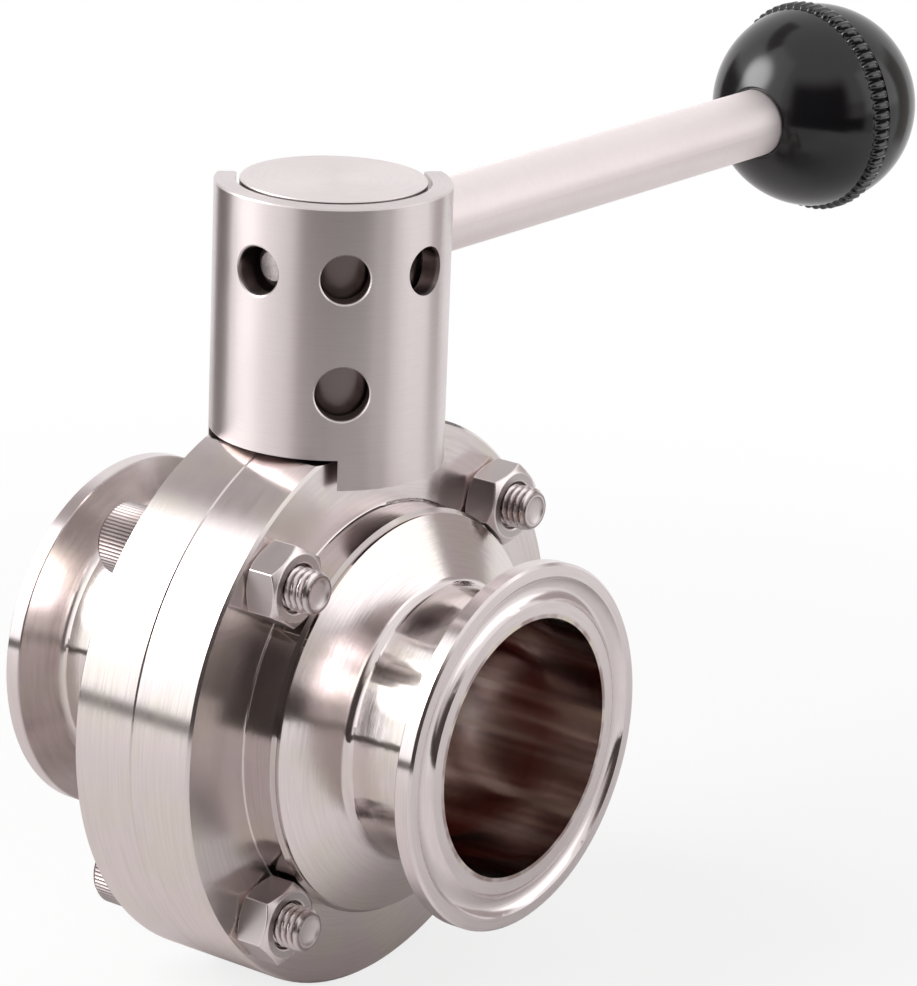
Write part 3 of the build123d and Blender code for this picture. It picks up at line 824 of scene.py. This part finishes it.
class VALVE_OT_stage(ValveOperator):
    """Set up the camera, the pale floor, the tent of light and the lamp"""

    bl_idname = "valve.stage"
    bl_label = "Stage"

    def execute(self, context):
        studio = context.scene.valve_studio
        self.add_camera(context.scene, studio)
        self.add_floor(studio)
        self.add_tent(studio)
        self.light_world(context.scene, studio)
        self.add_lamp(studio)
        context.scene.view_settings.view_transform = "Standard"
        return {"FINISHED"}

    def add_camera(self, scene, studio):
        """Camera that stands where the photograph was taken from."""
        back = compass(studio.azimuth, studio.elevation)
        right = Vector((math.cos(studio.azimuth), math.sin(studio.azimuth), 0))
        turn = Matrix((right, back.cross(right), back)).transposed().to_4x4()
        roll = Matrix.Rotation(studio.roll, 4, "Z")
        place = Matrix.Translation(studio.eye) @ turn @ roll
        camera = add_object("camera", bpy.data.cameras.new("camera"), place)
        camera.data.lens = studio.lens
        camera.data.sensor_width = 36.0
        camera.data.clip_start = 0.01
        camera.data.clip_end = 50.0
        scene.camera = camera

    def add_stage_mesh(self, name, bm, centre):
        """Adds a mesh for the floor or the tent."""
        mesh = bpy.data.meshes.new(name)
        bm.to_mesh(mesh)
        bm.free()
        added = add_object(name, mesh, Matrix.Translation(centre))
        return added

    def add_floor(self, studio):
        """Round pale table top that fades to the white background, and is darker as the metal mirrors it."""
        bm = bmesh.new()
        bmesh.ops.create_circle(bm, cap_ends=True, radius=studio.floor_radius, segments=96)
        floor = self.add_stage_mesh("floor", bm, (PARTING_X, 0, FLOOR_LEVEL))
        made, sketch = material("floor")
        x, y, _ = sketch.place()
        radius = (x * x + y * y) ** 0.5
        share = radius * (MM / studio.floor_radius)
        seen = sketch.node("ShaderNodeLightPath", out=CAMERA_RAY)
        # The metal mirrors a floor with painted backlight on the far side and painted shade past the rear
        # port
        backlit = ((x + y) / radius).step(-0.3, 0.9)
        shaded = (-x / radius).step(0.94, 0.99) * share.step(0.16, 0.28) * 0.7
        mirrored = sketch.mix(backlit, studio.floor_mirrored, studio.floor_backlit)
        mirrored = sketch.mix(shaded, mirrored, studio.floor_shaded)
        colour = sketch.mix(seen, mirrored, studio.floor_colour)
        board = sketch.node(
            "ShaderNodeBsdfPrincipled",
            sockets={"Base Color": colour, "Roughness": 1.0, "Specular IOR Level": 0.0})
        white = sketch.node("ShaderNodeEmission", sockets={"Color": paint(WHITE), "Strength": 1.0})
        # The camera sees it fade to plain white towards its rim, and the metal sees a painted glow on its
        # far side
        lift = share.step(0.35, 0.95) * (1 - studio.floor_lift) + studio.floor_lift
        glow = backlit * share.step(0.45, 0.8) * 0.55
        sketch.mixed_surface(seen * lift + glow * (1 - seen), board, white)
        give(floor, made)

    def add_tent(self, studio):
        """Tent whose walls only the gloss sees: white cloth, a lamp's bright face and the dark room."""
        bm = bmesh.new()
        bmesh.ops.create_uvsphere(bm, u_segments=48, v_segments=24, radius=studio.tent_radius)
        tent = self.add_stage_mesh("light_tent", bm, VALVE_CENTRE)
        for ray in ("camera", "diffuse", "shadow", "transmission", "volume_scatter"):
            setattr(tent, "visible_" + ray, False)
        made, sketch = material("light_tent")
        made.cycles.emission_sampling = "NONE"
        level = self.tent_level(sketch, studio)
        tint = sketch.mix(level.step(0.0, 0.9), studio.room_tint, studio.cloth_tint)
        sketch.finish(sketch.node("ShaderNodeEmission", sockets={"Color": sketch.scaled(tint, level)}))
        give(tent, made)

    def tent_level(self, sketch, studio):
        """Brightness of the tent by direction. Angles are in degrees, 0 along -Y and 90 along +X."""
        x, y, z = sketch.place()
        reach = (x * x + y * y) ** 0.5
        height = z * (MM / studio.tent_radius)

        def sector(middle, half, soft):
            """1 in a sector of compass directions about a middle one."""
            turn = math.radians(middle)
            facing = (x * math.sin(turn) - y * math.cos(turn)) / reach
            return facing.step(math.cos(math.radians(half + soft)), math.cos(math.radians(half)))

        def band(low, high, soft):
            """1 between two elevations."""
            edges = [math.sin(math.radians(a)) for a in (low - soft, low, high, high + soft)]
            return height.step(edges[0], edges[1]) * (1 - height.step(edges[2], edges[3]))

        def spot(turn, lift, inner, outer):
            """1 in a round spot about a direction."""
            toward = compass(math.radians(turn), math.radians(lift))
            facing = (x * toward.x + y * toward.y + z * toward.z) * (MM / studio.tent_radius)
            return facing.step(math.cos(math.radians(outer)), math.cos(math.radians(inner)))

        panels = (
            # Bright wall to the left of the camera, the glow round its lamp and the lamp's face
            (sector(-40, 30, 5) * band(-2, 60, 6), 1.3),
            (spot(-50, 30, 16, 42), 1.5),
            (spot(-54, 29, 8, 24), 8.5),
            # Dim stretch straight out from the front port, and a bright wall further round to the back
            (sector(92, 15, 7) * band(-14, 14, 4), 0.62),
            (sector(124, 20, 8) * band(6, 40, 5), 1.5),
            # Dark gap past the rear port and a dim one high above it
            (sector(-91, 13, 7) * band(-40, 12, 12), 0.12),
            (sector(-100, 24, 8) * band(50, 60, 5), 0.3),
            # Dark room round the camera, and a dim strip behind the valve
            (sector(42, 28, 16) * band(-60, 30, 22), 0.07),
            (sector(159, 9, 5) * band(-15, 22, 10), 0.42),
            # Dark edge of the table: thin to the left of the camera, wider under it and to its right
            (sector(-22, 44, 8) * band(-6, -2.5, 1), 0.08),
            (sector(60, 34, 8) * band(-12, -1, 2), 0.05),
        )
        level = studio.cloth_level
        for mask, brightness in panels:
            level = level + (brightness - level) * mask
        return level

    def light_world(self, scene, studio):
        """White background, with a plain light on what is matt."""
        world = bpy.data.worlds.new("studio")
        scene.world = world
        sketch = Sketch(world)
        paths = (CAMERA_RAY, "Is Glossy Ray", "Is Transmission Ray")
        camera, glossy, through = sketch.node("ShaderNodeLightPath", out=paths)
        seen = (camera + glossy + through).step(0.4, 0.6)
        light, white = (
            sketch.node("ShaderNodeBackground", sockets={"Color": paint(WHITE), "Strength": strength})
            for strength in (studio.world_strength, 1.0))
        sketch.mixed_surface(seen, light, white, "ShaderNodeOutputWorld")

    def add_lamp(self, studio):
        """Large soft lamp from the upper left, which the gloss doesn't show again."""
        direction = Vector(studio.lamp_direction).normalized()
        place = frame_along(direction, VALVE_CENTRE + direction * studio.lamp_distance)
        lamp = add_object("soft_lamp", bpy.data.lights.new("soft_lamp", "AREA"), place)
        lamp.data.shape = "DISK"
        lamp.data.size = studio.lamp_size
        lamp.data.energy = studio.lamp_power
        lamp.visible_glossy = False
        lamp.visible_camera = False


class VALVE_OT_body_halves(ValveOperator):
    """Finish both halves of the body"""

    bl_idname = "valve.body_halves"
    bl_label = "Body halves"

    def execute(self, context):
        finish = body_steel(context.scene.valve_steel)
        for node, out in (("body_half_front", X_AXIS), ("body_half_rear", -X_AXIS)):
            give(turned_copy(node, out, VALVE_CENTRE), finish)
        return {"FINISHED"}


class VALVE_OT_index_sleeve(ValveOperator):
    """Finish the index sleeve, brushed round its tube, with painted shade on its inside"""

    bl_idname = "valve.index_sleeve"
    bl_label = "Index sleeve"

    def execute(self, context):
        skin = SLEEVE_RADIUS / MM
        rim = SLEEVE_TOP / MM

        def inside(x, y, z, radius):
            """Painted shade in the tube's bore and holes, away from the handle's window and under the rim.
            """
            holes_side = ((x - y) / radius).step(-0.4, 0.1)
            walls = (1 - radius.step(skin - 0.9, skin - 0.3)) * holes_side
            return walls * (1 - z.step(rim - 0.4, rim - 0.1)) * 0.8

        finish = turned_steel(
            "sleeve_steel", context.scene.valve_steel, 0.32, spacing=0.6, height=1.2, shade=0.95,
            anisotropy=0.82, centre=VALVE_CENTRE, dark=inside)
        give(frame["nodes"]["index_sleeve"], finish)
        return {"FINISHED"}


class VALVE_OT_handle_hub(ValveOperator):
    """Finish the hub, bright on top and with painted shade on its side in the sleeve, and its set screw"""

    bl_idname = "valve.handle_hub"
    bl_label = "Handle hub"

    def execute(self, context):
        steel = context.scene.valve_steel
        top = HUB_TOP / MM

        def shade_behind_holes(x, y, z, radius):
            """Painted shade on the side of the hub that the sleeve always covers, under its top edge."""
            return (-y / radius).step(0.05, 0.4) * (1 - z.step(top - 0.45, top - 0.1)) * 0.68

        finish = turned_steel(
            "hub_steel", steel, 0.34, spacing=0.8, shade=1.06, anisotropy=0.5, centre=VALVE_CENTRE,
            dark=shade_behind_holes)
        give(frame["nodes"]["handle_hub"], finish)
        low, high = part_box("hub_set_screw")
        screw = turned_copy("hub_set_screw", -Y_AXIS, (low + high) / 2)
        give(screw, turned_steel("set_screw_steel", steel, 0.3, shade=0.5))
        return {"FINISHED"}


class VALVE_OT_clamp_screws(ValveOperator):
    """Model the four clamp screws with knurled heads and threads"""

    bl_idname = "valve.clamp_screws"
    bl_label = "Clamp screws"

    def execute(self, context):
        fasteners = context.scene.valve_fasteners
        steel = context.scene.valve_steel
        groove = (fasteners.thread_radius - fasteners.thread_depth) / MM
        # Painted shade darkens the thread's grooves
        finish = turned_steel(
            "screw_steel", steel, 0.24, height=0.1, shade=0.9, anisotropy=0.0,
            dark=lambda x, y, z, radius: radius.between(groove - 0.05, groove + 0.1, 0.25) * 0.6)
        valley = (fasteners.head_radius - fasteners.knurl_depth) / MM
        satin = turned_steel("screw_tip_steel", steel, 0.42, height=0.1, shade=0.85, anisotropy=0.0)
        # Painted shade darkens the knurl's grooves
        knurl = turned_steel(
            "screw_knurl_steel", steel, 0.45, height=0.1, shade=0.54, anisotropy=0.0,
            dark=lambda x, y, z, radius: (1 - radius.step(valley + 0.04, valley + 0.18)) * 0.85)
        for number, screw in enumerate(four_fasteners("clamp_screws"), start=1):
            mesh = screw_mesh(
                fasteners, under_head=PARTING_X - FLANGE_THICKNESS, tip=screw.high_x, head_top=screw.low_x,
                thread_start=PARTING_X + FLANGE_THICKNESS)
            piece = add_piece(f"clamp_screw_{number}", mesh, screw.place(0), *body_and_slot("clamp_screws"))
            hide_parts("clamp_screws")
            give(piece, finish, satin, knurl)
        return {"FINISHED"}


class VALVE_OT_clamp_nuts(ValveOperator):
    """Model the four hexagon nuts"""

    bl_idname = "valve.clamp_nuts"
    bl_label = "Clamp nuts"

    def execute(self, context):
        fasteners = context.scene.valve_fasteners
        steel = context.scene.valve_steel
        hole = fasteners.thread_radius / MM + 0.3
        # Painted shade darkens the hole and its countersinks
        finish = turned_steel(
            "nut_steel", steel, 0.33, height=0.15, shade=0.66, anisotropy=0.0,
            dark=lambda x, y, z, radius: (1 - radius.step(hole, hole + 0.2)) * 0.8)
        edges = turned_steel("nut_edge_steel", steel, 0.28, height=0.1, shade=1.05, anisotropy=0.0)
        nuts = zip(four_fasteners("clamp_nuts"), fasteners.nut_turns)
        for number, (nut, turned_on) in enumerate(nuts, start=1):
            place = nut.place(nut.low_x)
            corner = place.to_3x3().inverted() @ Vector((0, *nut.corner))
            turn = Matrix.Rotation(math.atan2(corner.y, corner.x) + turned_on, 4, "Z")
            mesh = nut_mesh(fasteners, nut.high_x - nut.low_x)
            piece = add_piece(f"clamp_nut_{number}", mesh, place @ turn, *body_and_slot("clamp_nuts"))
            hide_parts("clamp_nuts")
            rounding = piece.modifiers.new("rounding", "BEVEL")
            rounding.width = fasteners.nut_edge_round
            rounding.segments = 2
            rounding.limit_method = "ANGLE"
            rounding.angle_limit = fasteners.nut_edge_angle
            rounding.harden_normals = True
            rounding.material = 1
            give(piece, finish, edges)
        return {"FINISHED"}


class VALVE_OT_handle_rod(ValveOperator):
    """Finish the handle rod and the knob's insert"""

    bl_idname = "valve.handle_rod"
    bl_label = "Handle rod"

    def execute(self, context):
        steel = context.scene.valve_steel
        satin = turned_steel("rod_steel", steel, 0.46, spacing=0.8, height=0.7, shade=1.17, anisotropy=0.4)
        give(turned_copy("handle_rod", Y_AXIS, HANDLE_AXIS), satin)
        insert = turned_steel("insert_steel", steel, 0.3, shade=0.85)
        give(turned_copy("knob_insert", Y_AXIS, HANDLE_AXIS), insert)
        return {"FINISHED"}


class VALVE_OT_lock_plunger(ValveOperator):
    """Finish the locking plunger and its spring"""

    bl_idname = "valve.lock_plunger"
    bl_label = "Lock plunger"

    def execute(self, context):
        steel = context.scene.valve_steel
        pin = turned_steel("pin_steel", steel, 0.28, shade=0.92)
        give(turned_copy("lock_plunger", Y_AXIS, HANDLE_AXIS), pin)
        spring = turned_steel("spring_steel", steel, 0.3, shade=0.75, anisotropy=0.0, centre=HANDLE_AXIS)
        give(frame["nodes"]["plunger_spring"], spring)
        return {"FINISHED"}


DOME_ROWS = 40
DOME_POINTS_PER_TOOTH = 4
BAND_POINTS_PER_TOOTH = 12

# Where the band's rings lie, as shares of its width: closest at the teeth's rounded ends
BAND_RINGS = (0.003, 0.01, 0.03, 0.06, 0.10, 0.15, 0.20, 0.25, 0.30, 0.4, 0.6, 0.9, 0.95, 0.98, 1.0)


def knob_base_mesh(knob):
    """Rod-side part of the knob: a dome round the rod's mouth, a band of rounded teeth and the cap's hollow.

    Slot 1 is the band. The cap's high corner is the ball's radius from its centre on each axis."""
    skin = RingMesh()
    few = knob.tooth_count * DOME_POINTS_PER_TOOTH
    many = knob.tooth_count * BAND_POINTS_PER_TOOTH
    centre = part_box("knob_cap")[1] - Vector((1, 1, 1)) * knob.radius
    leaning = Matrix.Rotation(-knob.lean_to_port, 4, "Z") @ Matrix.Rotation(knob.lean_up, 4, "X")
    ball = Matrix.Translation(centre) @ leaning
    start = knob.band_middle - knob.band_width / 2
    end = knob.band_middle + knob.band_width / 2

    def radius_at(place):
        """Radius of the ball's section at a place along its axis."""
        return math.sqrt(knob.radius ** 2 - place ** 2)

    crest = radius_at(knob.band_middle) + knob.band_stand

    def about_ball(radius, place, count):
        """Points of a ring round the ball's own axis."""
        return [ball @ Vector((p.x, place, p.y)) for p in ring(radius, 0, count)]

    def about_rod(radius, deeper):
        """Points of a ring round the rod, on the ball or a little under its surface."""
        points = []
        for p in ring(radius, 0, few):
            across = Vector((HANDLE_AXIS.x + p.x - centre.x, HANDLE_AXIS.z + p.y - centre.z))
            depth = math.sqrt(knob.radius ** 2 - across.length_squared) - deeper
            points.append(Vector((HANDLE_AXIS.x + p.x, centre.y - depth, HANDLE_AXIS.z + p.y)))
        return points

    mouth = ROD_RADIUS + knob.mouth_clearance
    floor = [Vector((HANDLE_AXIS.x + p.x, KNOB_FACE, HANDLE_AXIS.z + p.y)) for p in ring(mouth, 0, few)]
    skin.cap(Vector((HANDLE_AXIS.x, KNOB_FACE, HANDLE_AXIS.z)))
    skin.ring(floor)
    skin.ring(about_rod(mouth, knob.mouth_edge))
    first = skin.ring(about_rod(mouth + knob.mouth_edge, 0))
    last = about_ball(radius_at(start), start, few)
    first = [v.co - centre for v in first]
    last = [p - centre for p in last]
    for row in range(1, DOME_ROWS + 1):
        share = row / DOME_ROWS
        skin.ring([centre + a.slerp(b, share).normalized() * knob.radius for a, b in zip(first, last)])

    def toothed(place):
        """Radius of the band as a function of the angle, at a place along the ball's axis."""
        root = radius_at(place) - knob.notch_depth * min(1.0, (place - start) / knob.notch_start)
        before = max(0.0, 1 - (place - start) / knob.tooth_end)
        fall = min(1.0, (end - place) / knob.tooth_fall)

        def radius(angle):
            aside = 2 * abs((angle * knob.tooth_count / (2 * math.pi) + 0.5) % 1.0 - 0.5) / knob.tooth_share
            round_off = math.sqrt(max(0.0, 1 - aside ** 2 - before ** 2))
            return root + (crest - root) * round_off * (0.5 + 0.5 * fall ** 0.5)

        return radius

    skin.slot = 1
    for share in BAND_RINGS:
        place = start + knob.band_width * share
        skin.ring(about_ball(toothed(place), place, many))
    skin.slot = 0
    skin.ring(about_ball(knob.hollow_radius, end, few))
    skin.ring(about_ball(knob.hollow_radius, end - knob.hollow_depth, few))
    skin.cap(ball @ Vector((0, end - knob.hollow_depth, 0)))
    return skin.mesh("knob_base_moulded", sharp=math.radians(80))


class VALVE_OT_ball_knob(ValveOperator):
    """Model the knob's base with its toothed band, and finish the ball knob"""

    bl_idname = "valve.ball_knob"
    bl_label = "Ball knob"

    def execute(self, context):
        knob = context.scene.valve_knob
        finish = plain_moulding(
            "knob_plastic", knob.colour, knob.roughness, grain=1.6, height=0.002, gloss=1.52)
        rubbed = plain_moulding(
            "knob_band_plastic", knob.colour, knob.roughness * 0.6, grain=1.6, height=0.001, gloss=1.7)
        mesh = knob_base_mesh(knob)
        base = add_piece("knob_base_moulded", mesh, Matrix.Identity(4), *body_and_slot("knob_base"))
        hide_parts("knob_base")
        give(base, finish, rubbed)
        give(frame["nodes"]["knob_cap"], finish)
        return {"FINISHED"}


class VALVE_OT_butterfly_disc(ValveOperator):
    """Finish the disc and its stem"""

    bl_idname = "valve.butterfly_disc"
    bl_label = "Butterfly disc"

    def execute(self, context):
        steel = context.scene.valve_steel
        polished = turned_steel("disc_steel", steel, 0.16, anisotropy=0.2, centre=VALVE_CENTRE)
        give(frame["nodes"]["butterfly_disc"], polished)
        return {"FINISHED"}


class VALVE_OT_seat_and_seals(ValveOperator):
    """Finish the seat ring, the stem seals, the bushes and the washer"""

    bl_idname = "valve.seat_and_seals"
    bl_label = "Seat and seals"

    def execute(self, context):
        seals = context.scene.valve_seals
        seat = plain_moulding("seat_rubber", seals.seat_colour, 0.38, grain=0.8, height=0.006)
        seal = plain_moulding("seal_rubber", seals.seal_colour, 0.45, grain=0.5, height=0.004)
        bush = plain_moulding("bush_plastic", seals.bush_colour, 0.45, grain=0.6, height=0.004)
        give(frame["nodes"]["seat_ring"], seat)
        for node in ("stem_o_ring_upper", "stem_o_ring_lower"):
            give(frame["nodes"][node], seal)
        for node in ("stem_bush_upper", "stem_bush_lower", "thrust_washer"):
            give(frame["nodes"][node], bush)
        return {"FINISHED"}


OPERATORS = (
    VALVE_OT_stage,
    VALVE_OT_body_halves,
    VALVE_OT_index_sleeve,
    VALVE_OT_handle_hub,
    VALVE_OT_clamp_screws,
    VALVE_OT_clamp_nuts,
    VALVE_OT_handle_rod,
    VALVE_OT_lock_plunger,
    VALVE_OT_ball_knob,
    VALVE_OT_butterfly_disc,
    VALVE_OT_seat_and_seals,
)

SETTINGS = {
    "valve_studio": StudioSettings,
    "valve_steel": SteelSettings,
    "valve_fasteners": FastenerSettings,
    "valve_knob": KnobSettings,
    "valve_seals": SealSettings,
}


class VALVE_PT_sidebar(bpy.types.Panel):
    """Lists the valve's operators and settings"""

    bl_idname = "VALVE_PT_sidebar"
    bl_label = "Butterfly valve"
    bl_space_type = "VIEW_3D"
    bl_region_type = "UI"
    bl_category = "Valve"

    def draw(self, context):
        for operator in OPERATORS:
            self.layout.operator(operator.bl_idname)
        for name in SETTINGS:
            settings = getattr(context.scene, name)
            box = self.layout.box()
            for field in settings.bl_rna.properties:
                if field.identifier not in ("rna_type", "name"):
                    box.prop(settings, field.identifier)


def register():
    for group in SETTINGS.values():
        bpy.utils.register_class(group)
    for name, group in SETTINGS.items():
        setattr(bpy.types.Scene, name, PointerProperty(type=group))
    for operator in OPERATORS:
        bpy.utils.register_class(operator)
    bpy.utils.register_class(VALVE_PT_sidebar)


def unregister():
    bpy.utils.unregister_class(VALVE_PT_sidebar)
    for operator in reversed(OPERATORS):
        bpy.utils.unregister_class(operator)
    for name in SETTINGS:
        delattr(bpy.types.Scene, name)
    for group in SETTINGS.values():
        bpy.utils.unregister_class(group)


def main():
    register()
    for operator in OPERATORS:
        family, name = operator.bl_idname.split(".")
        getattr(getattr(bpy.ops, family), name)()


if __name__ == "__main__":
    main()
